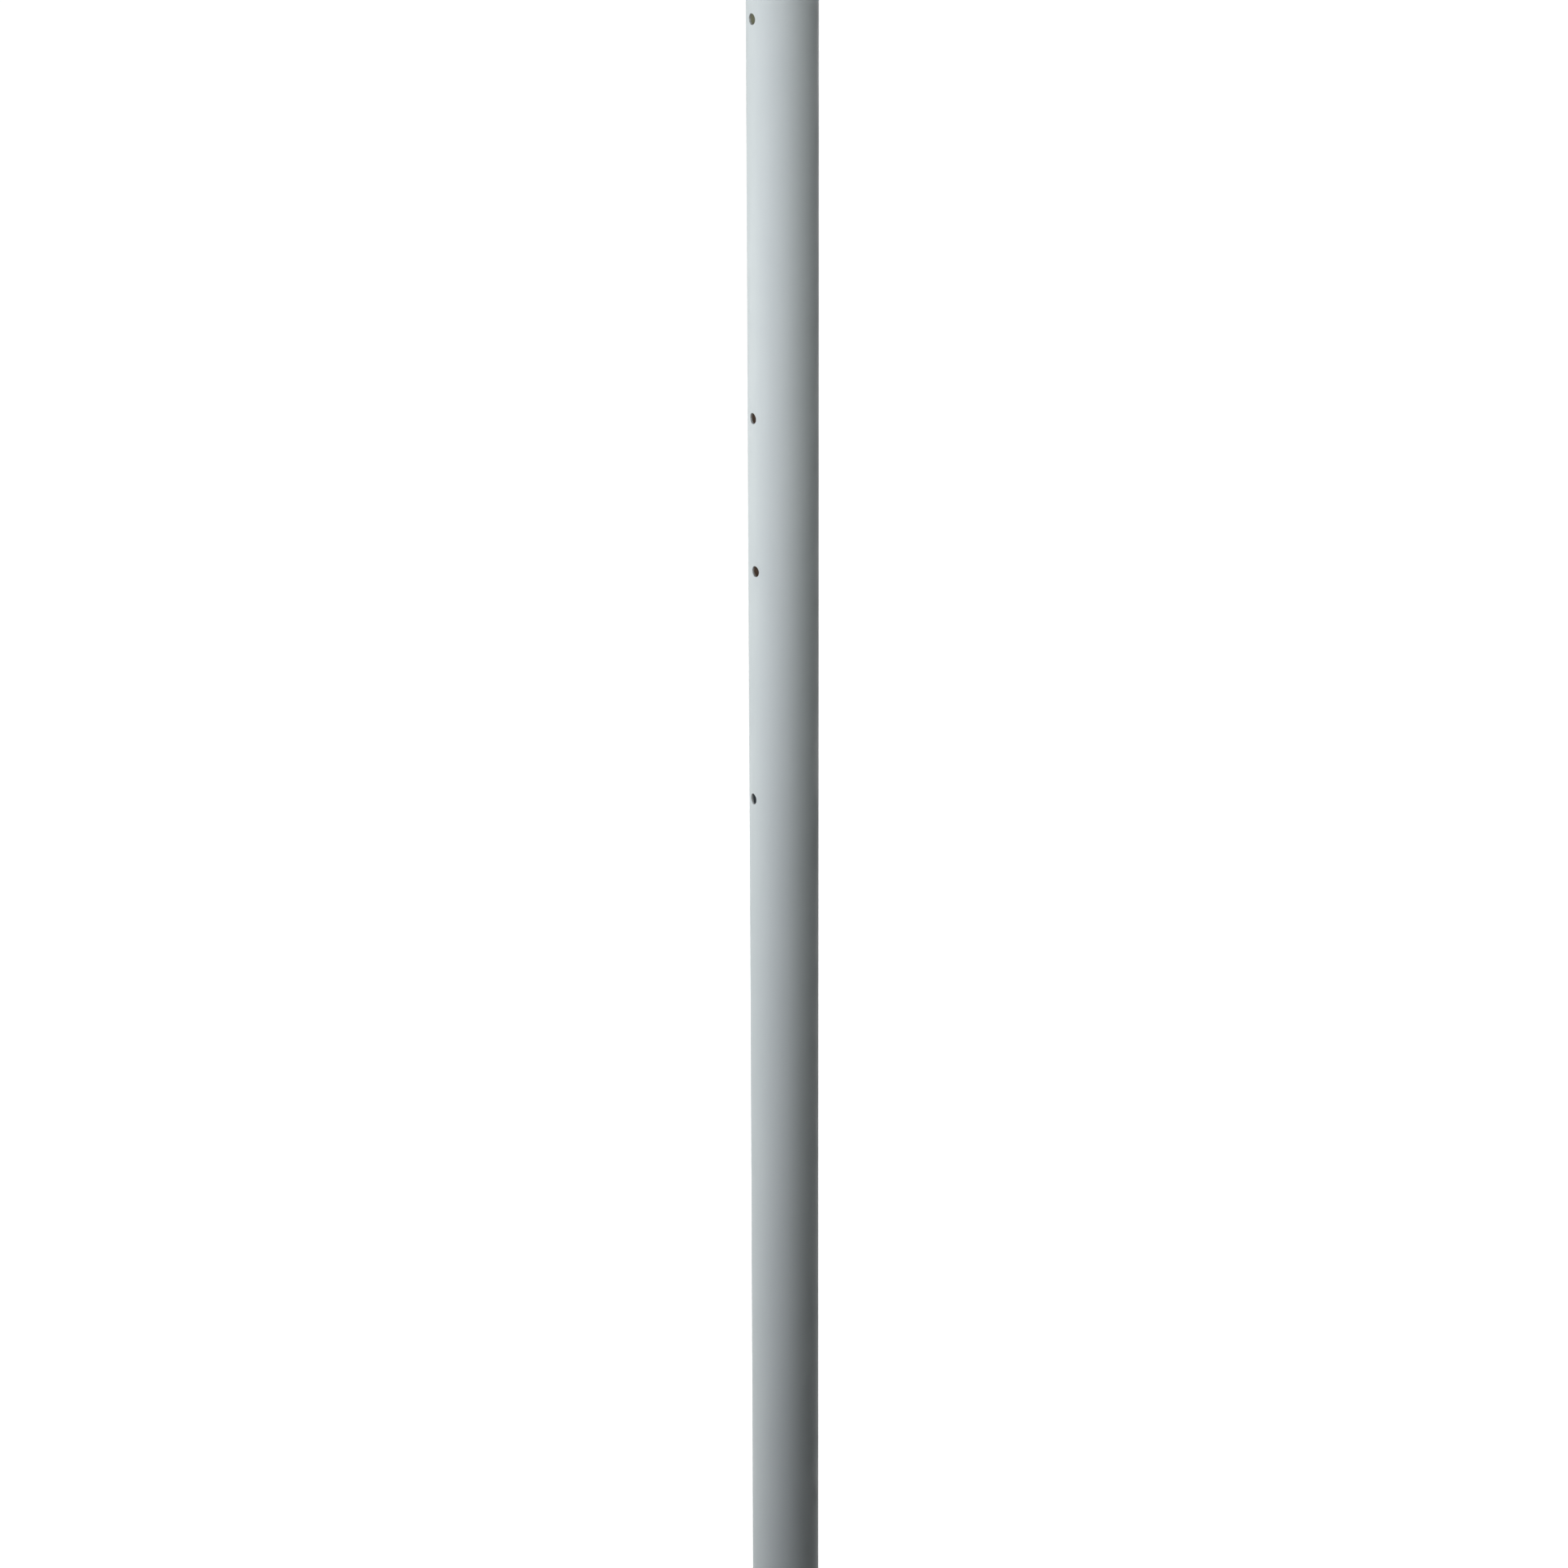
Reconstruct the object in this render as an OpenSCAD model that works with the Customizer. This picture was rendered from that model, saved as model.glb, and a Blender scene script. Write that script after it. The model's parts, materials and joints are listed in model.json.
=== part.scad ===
// Round tubular line post for a wire fence, from the ground line up.
// The origin is the centre of the foot, on the ground line. +Z is up, and the top hole is drilled along Y.

/* [Tube] */
// Outside diameter of the tube
tube_d = 48.3; // [42.4:0.1:60.3]
// Wall thickness of the tube
tube_wall = 1.6; // [1.2:0.1:3.2]
// Height of the tube above the ground line
tube_h = 1500; // [1000:10:2500]
// Chamfer left by deburring the two sawn ends
end_chamfer = 0.3; // [0.1:0.05:0.5]

/* [Holes] */
// Diameter of the drilled holes
hole_d = 7.5; // [5:0.1:10]
// Distance from the top of the tube down to the top hole
top_hole_drop = 50; // [40:1:100]
// Distance from the first hole down to the second
pitch_1_2 = 270; // [50:1:300]
// Distance from the second hole down to the third
pitch_2_3 = 107; // [50:1:300]
// Distance from the third hole down to the fourth
pitch_3_4 = 165; // [50:1:300]

/* [Cap] */
// Outside diameter of the cap, which leaves a land on the tube's end for the weld
cap_d = 47.1; // [40:0.1:48]
// Thickness of the sheet that the cap is pressed from
cap_wall = 2; // [1.5:0.1:3]
// Height of the cap's straight rim above the end of the tube
rim_h = 3; // [1:0.5:6]
// Radius of the bend between the rim and the dome
bend_r = 4; // [3.5:0.5:6]
// Radius of the dome's crown
crown_r = 50; // [35:1:80]

/* [Hidden] */
$fn = 96;

tube_r = tube_d / 2;
bore_r = tube_r - tube_wall;
cut_margin = 1;

// Height of each hole above the ground line, from the top one down
hole_z = [
    tube_h - top_hole_drop,
    tube_h - top_hole_drop - pitch_1_2,
    tube_h - top_hole_drop - pitch_1_2 - pitch_2_3,
    tube_h - top_hole_drop - pitch_1_2 - pitch_2_3 - pitch_3_4
];
// How far each hole was drilled off the line of the top one, in degrees about the post
hole_drift = [0, -1.5, 4, -4.5];

cap_r = cap_d / 2;
bend_centre_r = cap_r - bend_r;
bend_z = tube_h + rim_h;
// Angle from the post's axis at which the crown runs into the bend with no edge between them
crown_angle = asin(bend_centre_r / (crown_r - bend_r));
crown_centre_z = bend_z - (crown_r - bend_r) * cos(crown_angle);

// Wall profile of the tube, with both ends chamfered inside and outside
module tube_profile() {
    polygon([
        [bore_r, end_chamfer],
        [bore_r + end_chamfer, 0],
        [tube_r - end_chamfer, 0],
        [tube_r, end_chamfer],
        [tube_r, tube_h - end_chamfer],
        [tube_r - end_chamfer, tube_h],
        [bore_r + end_chamfer, tube_h],
        [bore_r, tube_h - end_chamfer]
    ]);
}

// One hole, drilled square to the post through both walls
module drilled_hole(z, drift) {
    translate([0, 0, z])
        rotate([0, 0, drift])
            rotate([90, 0, 0])
                cylinder(h = tube_d + 2 * cut_margin, d = hole_d, center = true);
}

module post_tube() {
    color([0.84, 0.85, 0.85])
        difference() {
            rotate_extrude() tube_profile();
            for (i = [0 : len(hole_z) - 1])
                drilled_hole(hole_z[i], hole_drift[i]);
        }
}

// The cap's outer form, or its hollow where inset is the sheet's thickness: a rim, a bend and a crown
module cap_form(inset) {
    seam_r = bend_centre_r + (bend_r - inset) * sin(crown_angle);
    translate([0, 0, tube_h])
        cylinder(h = rim_h, r = cap_r - inset);
    rotate_extrude()
        translate([bend_centre_r, bend_z])
            intersection() {
                circle(r = bend_r - inset);
                square(bend_r);
            }
    intersection() {
        translate([0, 0, crown_centre_z])
            sphere(r = crown_r - inset);
        translate([0, 0, bend_z])
            cylinder(h = crown_r, r = seam_r);
    }
}

// Domed cap pressed from sheet, open below, with its rim standing on the end of the tube
module top_cap() {
    color([0.84, 0.85, 0.85])
        difference() {
            cap_form(0);
            cap_form(cap_wall);
        }
}

post_tube();
top_cap();
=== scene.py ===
import json
import math

import bmesh
import bpy
from mathutils import Matrix, Vector


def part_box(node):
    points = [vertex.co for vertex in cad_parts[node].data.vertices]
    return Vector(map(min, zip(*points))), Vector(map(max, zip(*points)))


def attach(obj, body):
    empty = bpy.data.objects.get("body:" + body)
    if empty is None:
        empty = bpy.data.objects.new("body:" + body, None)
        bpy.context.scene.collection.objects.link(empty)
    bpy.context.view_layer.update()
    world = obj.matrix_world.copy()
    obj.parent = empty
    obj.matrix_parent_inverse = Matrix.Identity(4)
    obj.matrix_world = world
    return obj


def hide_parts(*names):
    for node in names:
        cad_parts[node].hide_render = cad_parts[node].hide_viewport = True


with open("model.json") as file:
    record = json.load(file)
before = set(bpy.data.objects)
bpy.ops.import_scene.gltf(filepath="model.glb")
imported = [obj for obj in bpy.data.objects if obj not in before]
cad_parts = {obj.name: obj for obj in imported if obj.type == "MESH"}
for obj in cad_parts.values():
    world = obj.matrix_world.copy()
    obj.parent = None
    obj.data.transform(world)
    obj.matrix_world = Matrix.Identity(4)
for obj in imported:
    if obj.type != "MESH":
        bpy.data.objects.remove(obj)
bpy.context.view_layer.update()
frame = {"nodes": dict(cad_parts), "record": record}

mounts = {mount["name"]: mount for mount in frame["record"]["mounts"]}


# ---------------------------------------------------------------------------------------------------------
# Tube. The post itself is one length of welded steel tube with a thin wall, sawn square at both ends.
# It is drilled through both walls on a bench drill, with each hole marked and turned by hand, and then it
# is powder coated, so the coat runs over the holes' rims and into them and leaves the inside raw.
# ---------------------------------------------------------------------------------------------------------
tube_low, tube_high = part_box("post_tube")
foot_z = tube_low.z
tube_top = tube_high.z
tube_r = mounts["shaft"]["dims"]["r_mm"] / 1000
bore_r = mounts["tube_bore"]["dims"]["r_mm"] / 1000
end_chamfer = 0.0003
mouth_rounding = 0.00025
inner_rounding = 0.00012
weld_azimuth = math.radians(232)
flash_height = 0.0004
flash_half_width = 0.0012

wall_columns = 240
column_angle = 2 * math.pi / wall_columns
row_height = tube_r * column_angle
patch_reach = 8
plain_row_height = 0.03
rim_steps = 5
inner_rim_steps = 2
sharp_edge = math.radians(35)

# The tube's four finishes, in the order of its material slots.
coat, raw, sawn, drilled = range(4)


def holes_from_foot_up():
    """Height, turn about the post and radius of each drilled hole."""
    holes = []
    for name, mount in mounts.items():
        if name.startswith("wire_hole"):
            x, y, _ = mount["axis"]
            holes.append((mount["pos_m"][2], math.atan2(x, -y), mount["dims"]["r_mm"] / 1000))
    return sorted(holes)


def on_wall(radius, azimuth, z):
    """A point on a round wall. Azimuth 0 is the side that the holes were drilled from."""
    return Vector((radius * math.sin(azimuth), -radius * math.cos(azimuth), z))


def flash_at(azimuth):
    """How far the weld's flash stands in from the bore at this azimuth."""
    off = math.remainder(azimuth - weld_azimuth, 2 * math.pi) * bore_r / flash_half_width
    return flash_height * math.exp(-off * off)


def plain_levels(low, high):
    """Heights of the rows of a plain stretch of wall, without the last one."""
    steps = math.ceil((high - low) / plain_row_height)
    return [low + (high - low) * step / steps for step in range(steps)]


def wall_levels(holes):
    """Heights of the rows of a wall: close together beside a hole, and far apart where it is plain."""
    levels = []
    low = foot_z + end_chamfer
    reach = patch_reach * row_height
    for z, _, _ in holes:
        levels += plain_levels(low, z - reach)
        levels += [z + step * row_height for step in range(-patch_reach, patch_reach)]
        low = z + reach
    high = tube_top - end_chamfer
    return levels + plain_levels(low, high) + [high]


def patch_border():
    """Steps in columns and rows from a patch's middle to each point of its border, round from the right."""
    reach = patch_reach
    right = [(reach, row) for row in range(reach)]
    top = [(-column, reach) for column in range(-reach, reach)]
    left = [(-reach, -row) for row in range(-reach, reach)]
    bottom = [(column, -reach) for column in range(-reach, reach)]
    return right + top + left + bottom + [(reach, row) for row in range(-reach, 0)]


def join_rings(mesh, ring, next_ring, material):
    """Closes the band between two rings of equally many points."""
    for index, point in enumerate(ring):
        after = (index + 1) % len(ring)
        face = mesh.faces.new((point, ring[after], next_ring[after], next_ring[index]))
        face.material_index = material


def drilled_mouth(mesh, outer_border, inner_border, z, azimuth, hole_r):
    """Fills the patches round one mouth: the flat ring, the rounded rim, the drilled wall and the inside."""
    count = len(outer_border)
    turns = [2 * math.pi * index / count for index in range(count)]

    def ring_at(across, radius):
        points = []
        for turn in turns:
            side = math.asin(across * math.cos(turn) / radius)
            points.append(mesh.verts.new(on_wall(radius, azimuth + side, z + across * math.sin(turn))))
        return points

    def ring_between(border, across, radius, share):
        points = []
        for turn, corner in zip(turns, border):
            corner_side = math.remainder(math.atan2(corner.co.x, -corner.co.y) - azimuth, 2 * math.pi)
            x = across * math.cos(turn) * (1 - share) + radius * math.sin(corner_side) * share
            height = across * math.sin(turn) * (1 - share) + (corner.co.z - z) * share
            points.append(mesh.verts.new(on_wall(radius, azimuth + math.asin(x / radius), z + height)))
        return points

    bands = [(outer_border, coat)]
    for share in (0.6, 0.25):
        bands.append((ring_between(outer_border, hole_r + mouth_rounding, tube_r, share), coat))
    for step in range(rim_steps + 1):
        turn = math.pi / 2 * step / rim_steps
        across = hole_r + mouth_rounding * (1 - math.sin(turn))
        bands.append((ring_at(across, tube_r - mouth_rounding * (1 - math.cos(turn))), coat))
    outer_edge = tube_r - mouth_rounding
    inner_edge = bore_r + inner_rounding
    bands[-1] = (bands[-1][0], drilled)
    for share in (0.5, 1):
        bands.append((ring_at(hole_r, outer_edge + (inner_edge - outer_edge) * share), drilled))
    for step in range(1, inner_rim_steps + 1):
        turn = math.pi / 2 * step / inner_rim_steps
        across = hole_r + inner_rounding * (1 - math.cos(turn))
        bands.append((ring_at(across, bore_r + inner_rounding * (1 - math.sin(turn))), raw))
    for share in (0.35, 0.7):
        bands.append((ring_between(inner_border, hole_r + inner_rounding, bore_r, share), raw))
    bands.append((inner_border, raw))
    for (ring, material), (next_ring, _) in zip(bands, bands[1:]):
        join_rings(mesh, ring, next_ring, material)


def tube_mesh():
    """Both walls as rows and columns, with a patch left out round each mouth, and the two sawn ends."""
    mesh = bmesh.new()
    holes = holes_from_foot_up()
    levels = wall_levels(holes)
    border = patch_border()
    mouths = []
    for z, azimuth, hole_r in holes:
        row = min(range(len(levels)), key=lambda index: abs(levels[index] - z))
        for turn in (0, math.pi):
            column = round((azimuth + turn) / column_angle) % wall_columns
            mouths.append((row, column, z, azimuth + turn, hole_r))

    def inside_patch(row, column, edge):
        """Whether this place is over a mouth. With edge 1 it is a cell, and with edge 0 it is a point."""
        for mouth_row, mouth_column, _, _, _ in mouths:
            rows = row - mouth_row
            columns = (column - mouth_column + wall_columns // 2) % wall_columns - wall_columns // 2
            low = -patch_reach if edge else -patch_reach + 1
            if low <= rows < patch_reach and low <= columns < patch_reach:
                return True
        return False

    walls = {}
    for name, radius in (("outer", tube_r), ("inner", bore_r)):
        for row, z in enumerate(levels):
            for column in range(wall_columns):
                if not inside_patch(row, column, edge=0):
                    azimuth = column * column_angle
                    depth = flash_at(azimuth) if name == "inner" else 0
                    walls[name, row, column] = mesh.verts.new(on_wall(radius - depth, azimuth, z))
    for name, material in (("outer", coat), ("inner", raw)):
        for row in range(len(levels) - 1):
            for column in range(wall_columns):
                if not inside_patch(row, column, edge=1):
                    after = (column + 1) % wall_columns
                    cell = ((row, column), (row, after), (row + 1, after), (row + 1, column))
                    face = mesh.faces.new([walls[name, r, c] for r, c in cell])
                    face.material_index = material
    for row, column, z, azimuth, hole_r in mouths:
        places = [(row + rows, (column + columns) % wall_columns) for columns, rows in border]
        outer_border = [walls["outer", r, c] for r, c in places]
        inner_border = [walls["inner", r, c] for r, c in places]
        drilled_mouth(mesh, outer_border, inner_border, z, azimuth, hole_r)

    for row, end_z, material in ((0, foot_z, sawn), (len(levels) - 1, tube_top, coat)):
        outer_ring = [walls["outer", row, column] for column in range(wall_columns)]
        inner_ring = [walls["inner", row, column] for column in range(wall_columns)]
        outer_lip = []
        inner_lip = []
        for column in range(wall_columns):
            azimuth = column * column_angle
            outer_lip.append(mesh.verts.new(on_wall(tube_r - end_chamfer, azimuth, end_z)))
            inner_lip.append(mesh.verts.new(on_wall(bore_r + end_chamfer, azimuth, end_z)))
        join_rings(mesh, outer_ring, outer_lip, material)
        join_rings(mesh, outer_lip, inner_lip, material)
        join_rings(mesh, inner_lip, inner_ring, material)
    bmesh.ops.recalc_face_normals(mesh, faces=mesh.faces)
    return mesh


def piece_from(name, mesh, materials):
    """Makes an object of a finished mesh, smooth but for its sharp edges, and lets it ride with the post."""
    data = bpy.data.meshes.new(name)
    mesh.to_mesh(data)
    mesh.free()
    for material in materials:
        data.materials.append(material)
    data.shade_smooth()
    data.set_sharp_from_angle(angle=sharp_edge)
    piece = bpy.data.objects.new(name, data)
    bpy.context.scene.collection.objects.link(piece)
    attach(piece, "root")
    return piece


def new_group(name, inputs, outputs):
    """An empty shader node group with named value sockets, and its input and output nodes."""
    group = bpy.data.node_groups.new(name, "ShaderNodeTree")
    for socket, value in inputs.items():
        made = group.interface.new_socket(socket, in_out="INPUT", socket_type="NodeSocketFloat")
        made.default_value = value
    for socket in outputs:
        group.interface.new_socket(socket, in_out="OUTPUT", socket_type="NodeSocketFloat")
    return group, group.nodes.new("NodeGroupInput"), group.nodes.new("NodeGroupOutput")


def add_node(tree, kind, links=None, **settings):
    """A node with its settings. Links go by socket name or number: a value, or another node's output."""
    node = tree.nodes.new(kind)
    for name, value in settings.items():
        setattr(node, name, value)
    for socket, value in (links or {}).items():
        if isinstance(value, bpy.types.NodeSocket):
            tree.links.new(value, node.inputs[socket])
        else:
            node.inputs[socket].default_value = value
    return node


def math_node(tree, operation, first, second=0.0, clamp=False):
    """The output of one Math node."""
    node = add_node(tree, "ShaderNodeMath", {0: first, 1: second}, operation=operation, use_clamp=clamp)
    return node.outputs[0]


def noise_node(tree, place, scale, detail=2.0, roughness=0.5, distortion=0.0):
    """The value of a noise that varies in space, 0.5 on average."""
    links = {"Vector": place, "Scale": scale, "Detail": detail, "Roughness": roughness}
    links["Distortion"] = distortion
    return add_node(tree, "ShaderNodeTexNoise", links).outputs[0]


def ramp_between(tree, value, low, high, low_result=0.0, high_result=1.0):
    """A value brought from the range low to high to the results' range, without going past it."""
    links = {0: value, 1: low, 2: high, 3: low_result, 4: high_result}
    return add_node(tree, "ShaderNodeMapRange", links, interpolation_type="SMOOTHSTEP").outputs[0]


def stretched(tree, place, scale):
    """Coordinates scaled by different amounts along X, Y and Z."""
    return add_node(tree, "ShaderNodeMapping", {"Vector": place, "Scale": scale}).outputs[0]


def make_powder_skin():
    """How a powder coat flows out: orange peel a few millimetres across, fine grain, and soft clouding."""
    inputs = {"Peel per metre": 420.0, "Grain per metre": 3200.0}
    outputs = ["Height", "Clouding", "Gloss loss"]
    group, given, result = new_group("powder skin", inputs, outputs)
    place = group.nodes.new("ShaderNodeTexCoord").outputs["Object"]
    peel = noise_node(group, place, given.outputs["Peel per metre"], detail=1.0)
    grain = noise_node(group, place, given.outputs["Grain per metre"], detail=1.0)
    fine = math_node(group, "MULTIPLY", grain, 0.12)
    group.links.new(math_node(group, "ADD", peel, fine), result.inputs["Height"])
    wide = noise_node(group, stretched(group, place, (1, 1, 0.25)), 26.0, detail=3.0)
    group.links.new(ramp_between(group, wide, 0.3, 0.7), result.inputs["Clouding"])
    patches = noise_node(group, stretched(group, place, (1, 1, 0.4)), 70.0, detail=4.0, roughness=0.6)
    group.links.new(ramp_between(group, patches, 0.35, 0.75), result.inputs["Gloss loss"])
    return group


def make_rub_marks():
    """Faint marks of handling: short scratches that run mostly along the post, gathered in a few places."""
    group, given, result = new_group("rub marks", {"Cover": 0.2}, ["Scratches", "Rubbed"])
    place = group.nodes.new("ShaderNodeTexCoord").outputs["Object"]
    bent = noise_node(group, place, 9.0, detail=2.0)
    lines = noise_node(group, stretched(group, place, (1, 1, 0.022)), 1500.0, detail=1.0, distortion=0.4)
    thin = ramp_between(group, lines, 0.66, 0.72)
    handled = noise_node(group, stretched(group, place, (1, 1, 0.35)), 30.0, detail=2.0)
    kept = math_node(group, "MULTIPLY", thin, ramp_between(group, handled, 0.52, 0.66))
    scratches = math_node(group, "MULTIPLY", kept, given.outputs["Cover"], clamp=True)
    group.links.new(scratches, result.inputs["Scratches"])
    smooth = ramp_between(group, bent, 0.45, 0.75)
    worn = math_node(group, "MULTIPLY", smooth, given.outputs["Cover"], clamp=True)
    group.links.new(worn, result.inputs["Rubbed"])
    return group


def make_seam_line():
    """The tube's long weld, as a mask that is 1 along it and fades out at the half width."""
    group, given, result = new_group("seam line", {"Half width": 0.0015}, ["Mask"])
    place = group.nodes.new("ShaderNodeTexCoord").outputs["Object"]
    out_of_post = on_wall(1, weld_azimuth, 0)
    along_wall = on_wall(1, weld_azimuth + math.pi / 2, 0)
    away = add_node(group, "ShaderNodeVectorMath", {0: place, 1: along_wall}, operation="DOT_PRODUCT")
    side = add_node(group, "ShaderNodeVectorMath", {0: place, 1: out_of_post}, operation="DOT_PRODUCT")
    distance = math_node(group, "ABSOLUTE", away.outputs["Value"])
    share = math_node(group, "DIVIDE", distance, given.outputs["Half width"])
    near = ramp_between(group, share, 0.0, 1.0, 1.0, 0.0)
    this_side = math_node(group, "GREATER_THAN", side.outputs["Value"], 0.0)
    group.links.new(math_node(group, "MULTIPLY", near, this_side), result.inputs["Mask"])
    return group


def make_settled_dust():
    """Dust that lies where a surface faces up, thicker in some places than in others."""
    group, given, result = new_group("settled dust", {"Cover": 0.3}, ["Mask"])
    normal = group.nodes.new("ShaderNodeNewGeometry").outputs["Normal"]
    up = add_node(group, "ShaderNodeSeparateXYZ", {0: normal}).outputs["Z"]
    place = group.nodes.new("ShaderNodeTexCoord").outputs["Object"]
    spread = noise_node(group, place, 240.0, detail=5.0, roughness=0.65)
    level = ramp_between(group, up, 0.15, 0.95)
    lying = math_node(group, "MULTIPLY", level, ramp_between(group, spread, 0.3, 0.7))
    mask = math_node(group, "MULTIPLY", lying, given.outputs["Cover"], clamp=True)
    group.links.new(mask, result.inputs["Mask"])
    return group


powder_skin = make_powder_skin()
rub_marks = make_rub_marks()
seam_line = make_seam_line()
settled_dust = make_settled_dust()


def mix_colours(tree, share, first, second):
    """A colour between two others."""
    node = tree.nodes.new("ShaderNodeMix")
    node.data_type = "RGBA"
    for socket, value in ((node.inputs["Factor"], share), (node.inputs[6], first), (node.inputs[7], second)):
        if isinstance(value, bpy.types.NodeSocket):
            tree.links.new(value, socket)
        else:
            socket.default_value = value
    return node.outputs[2]


def add_group(tree, group, **values):
    """A node group in a material, with this material's own values. An underscore stands for a space."""
    node = add_node(tree, "ShaderNodeGroup", node_tree=group)
    for name, value in values.items():
        node.inputs[name.replace("_", " ")].default_value = value
    return node


def new_material(name):
    """A material with its Principled BSDF, and the tree that holds it."""
    material = bpy.data.materials.new(name)
    material.use_nodes = True
    return material, material.node_tree, material.node_tree.nodes["Principled BSDF"]


def powder_coat(name, scratch_cover, dust_cover, seam_depth):
    """Satin light grey powder coat over steel."""
    grey = (0.645, 0.688, 0.702, 1)
    deeper_grey = (0.622, 0.666, 0.682, 1)
    rubbed_grey = (0.69, 0.725, 0.735, 1)
    dust_grey = (0.42, 0.4, 0.37, 1)
    material, tree, shader = new_material(name)
    skin = add_group(tree, powder_skin)
    marks = add_group(tree, rub_marks, Cover=scratch_cover)
    dust = add_group(tree, settled_dust, Cover=dust_cover)
    colour = mix_colours(tree, skin.outputs["Clouding"], grey, deeper_grey)
    colour = mix_colours(tree, marks.outputs["Scratches"], colour, rubbed_grey)
    colour = mix_colours(tree, dust.outputs["Mask"], colour, dust_grey)
    tree.links.new(colour, shader.inputs["Base Color"])
    shader.inputs["Specular IOR Level"].default_value = 0.3
    duller = ramp_between(tree, skin.outputs["Gloss loss"], 0.0, 1.0, 0.54, 0.64)
    rubbed = math_node(tree, "MULTIPLY", marks.outputs["Rubbed"], -0.08)
    tree.links.new(math_node(tree, "ADD", duller, rubbed), shader.inputs["Roughness"])
    height = math_node(tree, "SUBTRACT", skin.outputs["Height"], marks.outputs["Scratches"])
    peel = add_node(tree, "ShaderNodeBump", {"Height": height, "Strength": 0.35, "Distance": 0.00004})
    normal = peel.outputs["Normal"]
    if seam_depth:
        seam = add_group(tree, seam_line, Half_width=0.0022)
        links = {"Height": seam.outputs["Mask"], "Strength": 1.0, "Distance": seam_depth, "Normal": normal}
        normal = add_node(tree, "ShaderNodeBump", links).outputs["Normal"]
    tree.links.new(normal, shader.inputs["Normal"])
    return material


def raw_bore_steel():
    """The uncoated inside: dull zinc, browned by damp in the upper part, and with painted light on top: a
    paler olive that stands for daylight falling down the tube.
    """
    dull_zinc = (0.43, 0.48, 0.52, 1)
    rust_brown = (0.54, 0.41, 0.32, 1)
    # Painted light: a pale olive for the top of the bore, standing for daylight that comes down the tube.
    top_painted_light = (0.58, 0.59, 0.45, 1)
    blued = (0.2, 0.21, 0.24, 1)
    damp_line = 1.0
    painted_light_line = 1.4
    material, tree, shader = new_material("raw bore steel")
    place = tree.nodes.new("ShaderNodeTexCoord").outputs["Object"]
    height = add_node(tree, "ShaderNodeSeparateXYZ", {0: place}).outputs["Z"]
    fine_bloom = noise_node(tree, place, 110.0, detail=6.0, roughness=0.65)
    ragged = math_node(tree, "ADD", height, math_node(tree, "MULTIPLY", fine_bloom, 0.16))
    brown = ramp_between(tree, ragged, damp_line + 0.02, damp_line + 0.12)
    # Painted light: above this height the bore turns pale olive, as if lit from above.
    painted_light_share = ramp_between(tree, ragged, painted_light_line + 0.04, painted_light_line + 0.1)
    seam = add_group(tree, seam_line, Half_width=0.006)
    colour = mix_colours(tree, brown, dull_zinc, rust_brown)
    colour = mix_colours(tree, painted_light_share, colour, top_painted_light)
    colour = mix_colours(tree, seam.outputs["Mask"], colour, blued)
    tree.links.new(colour, shader.inputs["Base Color"])
    tree.links.new(ramp_between(tree, fine_bloom, 0.35, 0.65, 0.6, 0.9), shader.inputs["Roughness"])
    pits = noise_node(tree, place, 900.0, detail=3.0)
    bump = add_node(tree, "ShaderNodeBump", {"Height": pits, "Strength": 0.5, "Distance": 0.0001})
    tree.links.new(bump.outputs["Normal"], shader.inputs["Normal"])
    return material


def sawn_steel():
    """Bare steel of the sawn foot, with the saw's straight scratches across it and a first tint of rust."""
    bright = (0.52, 0.51, 0.5, 1)
    tinted = (0.34, 0.25, 0.18, 1)
    material, tree, shader = new_material("sawn steel")
    place = tree.nodes.new("ShaderNodeTexCoord").outputs["Object"]
    lines = noise_node(tree, stretched(tree, place, (1, 0.03, 0.03)), 5000.0, detail=2.0)
    bloom = ramp_between(tree, noise_node(tree, place, 420.0, detail=5.0, roughness=0.6), 0.5, 0.8)
    tree.links.new(mix_colours(tree, bloom, bright, tinted), shader.inputs["Base Color"])
    tree.links.new(ramp_between(tree, bloom, 0.0, 1.0, 0.9, 0.15), shader.inputs["Metallic"])
    tree.links.new(ramp_between(tree, bloom, 0.0, 1.0, 0.34, 0.8), shader.inputs["Roughness"])
    bump = add_node(tree, "ShaderNodeBump", {"Height": lines, "Strength": 0.6, "Distance": 0.00005})
    tree.links.new(bump.outputs["Normal"], shader.inputs["Normal"])
    return material


def drilled_steel():
    """The drilled walls, where the coat has only crept in thinly over the cut steel."""
    thin_coat = (0.56, 0.585, 0.595, 1)
    cut_steel = (0.42, 0.41, 0.39, 1)
    material, tree, shader = new_material("drilled steel")
    place = tree.nodes.new("ShaderNodeTexCoord").outputs["Object"]
    bare = ramp_between(tree, noise_node(tree, place, 600.0, detail=3.0), 0.4, 0.65)
    tree.links.new(mix_colours(tree, bare, thin_coat, cut_steel), shader.inputs["Base Color"])
    tree.links.new(ramp_between(tree, bare, 0.0, 1.0, 0.6, 0.45), shader.inputs["Roughness"])
    rings = noise_node(tree, place, 2400.0, detail=1.0)
    bump = add_node(tree, "ShaderNodeBump", {"Height": rings, "Strength": 0.4, "Distance": 0.00005})
    tree.links.new(bump.outputs["Normal"], shader.inputs["Normal"])
    return material


tube_coat = powder_coat("tube coat", scratch_cover=0.5, dust_cover=0.1, seam_depth=0.00006)
tube_finishes = [tube_coat, raw_bore_steel(), sawn_steel(), drilled_steel()]
tube = piece_from("tube", tube_mesh(), tube_finishes)
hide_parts("post_tube")


# ---------------------------------------------------------------------------------------------------------
# Cap. A shallow dome pressed from steel sheet, set on the end of the tube and welded to it before the post
# is coated, so that it carries the same coat. Dust lies on it where it faces up.
# ---------------------------------------------------------------------------------------------------------
cap = frame["nodes"]["top_cap"]
cap_coat = powder_coat("cap coat", scratch_cover=0.8, dust_cover=0.35, seam_depth=0)
for slot in cap.material_slots:
    slot.material = cap_coat


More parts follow.
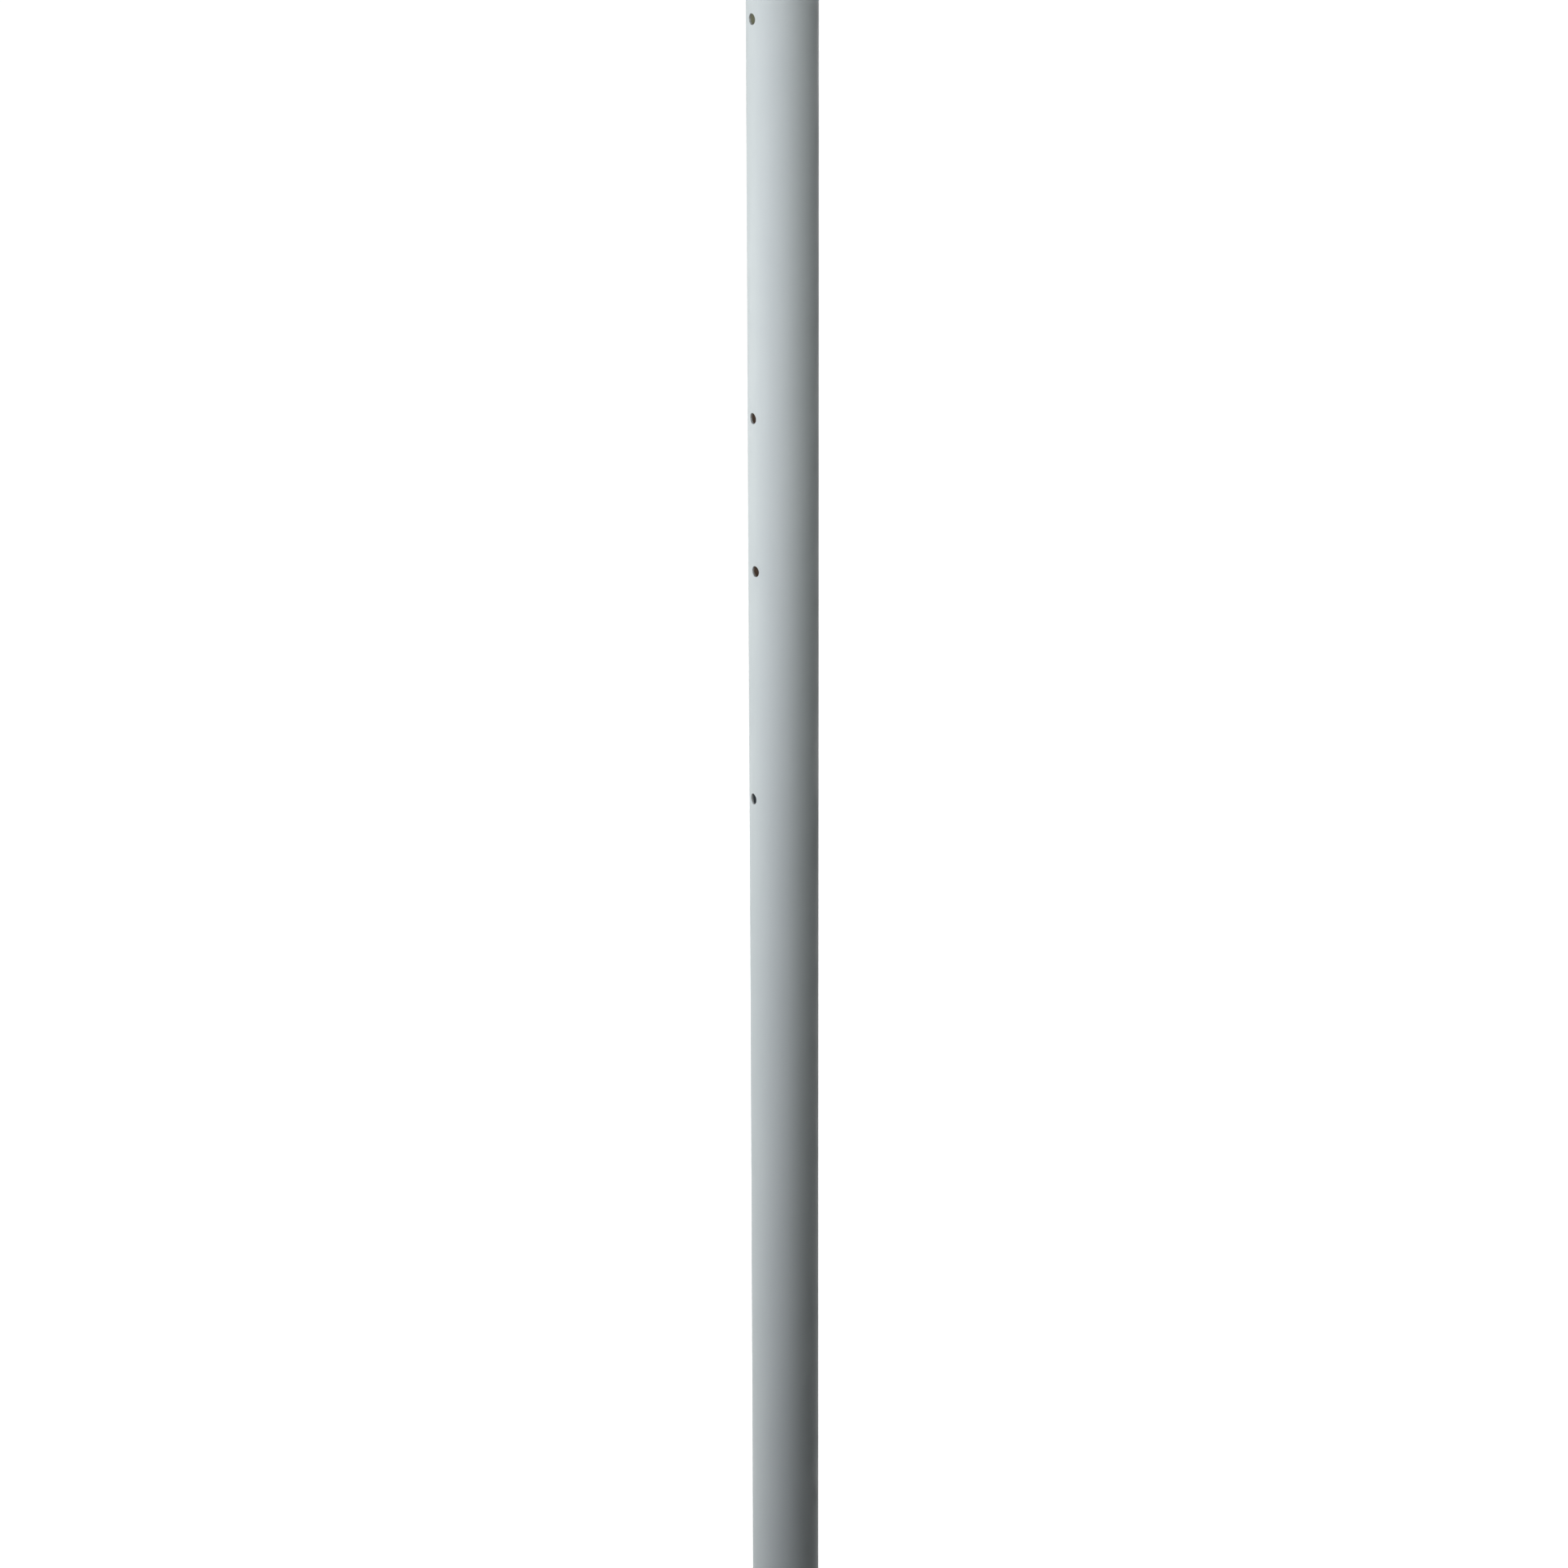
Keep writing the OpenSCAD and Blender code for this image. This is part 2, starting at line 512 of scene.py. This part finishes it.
# ---------------------------------------------------------------------------------------------------------
# Cap weld. One run of weld lies in the corner between the cap's rim and the end of the tube. It is steel,
# laid by hand in small overlapping puddles, brushed clean, and coated with the rest of the post.
# ---------------------------------------------------------------------------------------------------------
cap_low, cap_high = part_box("top_cap")
cap_r = cap_high.x
bead_top = cap_low.z + 0.0021
bead_foot = cap_low.z - 0.0009
bead_middle_r = (cap_r + tube_r) / 2 - 0.0004
bead_ripples = 104
bead_steps = bead_ripples * 10
bead_points = 18
ripple_height = 0.00015
hand_wander = 0.00005


def bead_mesh():
    """A closed ring whose outer side bulges between the cap's rim and the tube's edge, with its ripples."""
    mesh = bmesh.new()
    middle_z = (bead_top + bead_foot) / 2
    half_width = tube_r - ripple_height - bead_middle_r
    half_height = (bead_top - bead_foot) / 2
    rings = []
    for step in range(bead_steps):
        azimuth = 2 * math.pi * step / bead_steps
        ring = []
        for point in range(bead_points):
            turn = 2 * math.pi * point / bead_points
            lag = 0.9 * math.cos(turn) ** 2
            puddle = (step / bead_steps * bead_ripples + lag) % 1
            lift = ripple_height * (1 - (2 * puddle - 1) ** 2)
            wander = hand_wander * math.sin(7 * azimuth + 1) * math.sin(turn)
            radius = bead_middle_r + (half_width + lift) * math.cos(turn)
            z = middle_z + (half_height + wander) * math.sin(turn)
            ring.append(mesh.verts.new(on_wall(radius, azimuth, z)))
        rings.append(ring)
    for index, ring in enumerate(rings):
        join_rings(mesh, ring, rings[(index + 1) % bead_steps], coat)
    bmesh.ops.recalc_face_normals(mesh, faces=mesh.faces)
    return mesh


cap_weld = piece_from("cap_weld", bead_mesh(), [cap_coat])


# ---------------------------------------------------------------------------------------------------------
# Camera. It stands about 3 m from the post, to the right of the drilled side and above the height of the
# cap, and looks down. Its view runs from about 0.3 m above the ground to just under the cap.
# ---------------------------------------------------------------------------------------------------------
camera_azimuth = math.radians(57.3)
camera_pitch = math.radians(18.68)
camera_roll = math.radians(0.119)
camera_distance = 3.067
camera_height = 1.952

camera_data = bpy.data.cameras.new("camera")
camera_data.lens = 106.71
camera_data.sensor_width = 36
camera = bpy.data.objects.new("camera", camera_data)
camera.location = on_wall(camera_distance, camera_azimuth, camera_height)
backward = on_wall(math.cos(camera_pitch), camera_azimuth, math.sin(camera_pitch))
level = backward.to_track_quat("Z", "Y").to_matrix().to_4x4()
turned = level @ Matrix.Rotation(-camera_roll, 4, "Z")
camera.rotation_euler = turned.to_euler()
bpy.context.scene.collection.objects.link(camera)
bpy.context.scene.camera = camera


# ---------------------------------------------------------------------------------------------------------
# Floor and light. A plain pale studio floor with no edge in view, which looks white and keeps the post's
# shadow, and large soft lamps: the key on the drilled side, with weaker ones beside, in front and above, and
# one behind. A glimmer of light inside the tube stands for the daylight that finds its way in at the holes.
# ---------------------------------------------------------------------------------------------------------
floor_half = 60.0


def seen_directly(tree):
    """1 for what the camera sees, also in a reflection or through glass, and 0 for light on things."""
    path = tree.nodes.new("ShaderNodeLightPath")
    seen = math_node(tree, "MAXIMUM", path.outputs["Is Camera Ray"], path.outputs["Is Glossy Ray"])
    return math_node(tree, "MAXIMUM", seen, path.outputs["Is Transmission Ray"])


def floor_material():
    """Matt pale paint that glows for the camera alone, throws little light back and is clear from below."""
    material, tree, shader = new_material("floor paint")
    place = tree.nodes.new("ShaderNodeTexCoord").outputs["Object"]
    seen = seen_directly(tree)
    faint = noise_node(tree, place, 3.0, detail=2.0)
    pale = mix_colours(tree, faint, (0.54, 0.54, 0.53, 1), (0.56, 0.56, 0.55, 1))
    tree.links.new(mix_colours(tree, seen, (0.07, 0.07, 0.07, 1), pale), shader.inputs["Base Color"])
    shader.inputs["Roughness"].default_value = 0.9
    shader.inputs["Specular IOR Level"].default_value = 0.2
    away = add_node(tree, "ShaderNodeVectorMath", {0: place}, operation="LENGTH").outputs["Value"]
    glow = ramp_between(tree, away, 0.4, 1.6, 0.78, 1.0)
    tree.links.new(math_node(tree, "MULTIPLY", seen, glow), shader.inputs["Emission Strength"])
    shader.inputs["Emission Color"].default_value = (1, 1, 1, 1)
    backfacing = tree.nodes.new("ShaderNodeNewGeometry").outputs["Backfacing"]
    clear = tree.nodes.new("ShaderNodeBsdfTransparent").outputs[0]
    links = {0: backfacing, 1: shader.outputs["BSDF"], 2: clear}
    mixed = add_node(tree, "ShaderNodeMixShader", links).outputs[0]
    tree.links.new(mixed, tree.nodes["Material Output"].inputs["Surface"])
    return material


floor_data = bpy.data.meshes.new("floor")
corners = [(-1, -1), (1, -1), (1, 1), (-1, 1)]
floor_data.from_pydata([(x * floor_half, y * floor_half, foot_z) for x, y in corners], [], [(0, 1, 2, 3)])
floor_data.materials.append(floor_material())
floor = bpy.data.objects.new("floor", floor_data)
bpy.context.scene.collection.objects.link(floor)


def soft_lamp(name, azimuth, distance, height, aim_height, size, power, colour, spread=180):
    """A square area lamp that stands round the post and points at its axis. A grid may narrow its spread."""
    data = bpy.data.lights.new(name, "AREA")
    data.shape = "SQUARE"
    data.size = size
    data.spread = math.radians(spread)
    data.energy = power
    data.color = colour
    lamp = bpy.data.objects.new(name, data)
    lamp.location = on_wall(distance, math.radians(azimuth), height)
    aim = Vector((0, 0, aim_height)) - lamp.location
    lamp.rotation_euler = aim.to_track_quat("-Z", "Y").to_euler()
    lamp.visible_camera = False
    bpy.context.scene.collection.objects.link(lamp)
    return lamp


soft_lamp("key", -2, 1.6, 1.2, 1.2, 1.2, 13.65, (0.945, 0.96, 1))
soft_lamp("side", -52, 1.3, 1.1, 1.1, 1.0, 7.28, (0.965, 1, 0.93))
soft_lamp("front_left", 29, 2.2, 1.7, 1.3, 0.8, 1.15, (0.98, 0.98, 1), spread=60)
soft_lamp("front", 58, 2.2, 1.7, 1.3, 0.8, 1.1, (0.93, 1, 0.97), spread=60)
soft_lamp("high_front", 78, 2.2, 1.9, 1.5, 0.6, 0.185, (1, 1, 1), spread=30)
soft_lamp("back", 225, 2.4, 1.6, 0.9, 1.2, 36, (0.97, 0.985, 1))
soft_lamp("top", 60, 0.3, 3.2, 1.3, 0.9, 6, (1, 1, 1))

inside_powers = (0.0009, 0.0012, 0.0011, 0.003)
glimmer_radius = 0.006
for power, (hole_z, _, _) in zip(inside_powers, holes_from_foot_up()):
    glimmer = bpy.data.lights.new("glimmer", "POINT")
    glimmer.energy = power
    glimmer.shadow_soft_size = glimmer_radius
    inside_lamp = bpy.data.objects.new("glimmer", glimmer)
    inside_lamp.location = (0, 0, hole_z)
    inside_lamp.visible_camera = False
    bpy.context.scene.collection.objects.link(inside_lamp)

world = bpy.data.worlds.new("studio")
world.use_nodes = True
bpy.context.scene.world = world
room = world.node_tree
ambient = add_node(room, "ShaderNodeBackground", {"Color": (0.96, 0.98, 1, 1), "Strength": 0.015})
white = add_node(room, "ShaderNodeBackground", {"Color": (1, 1, 1, 1), "Strength": 1.0})
links = {0: seen_directly(room), 1: ambient.outputs[0], 2: white.outputs[0]}
shown = add_node(room, "ShaderNodeMixShader", links)
room.links.new(shown.outputs[0], room.nodes["World Output"].inputs["Surface"])

bpy.context.scene.view_settings.view_transform = "Standard"
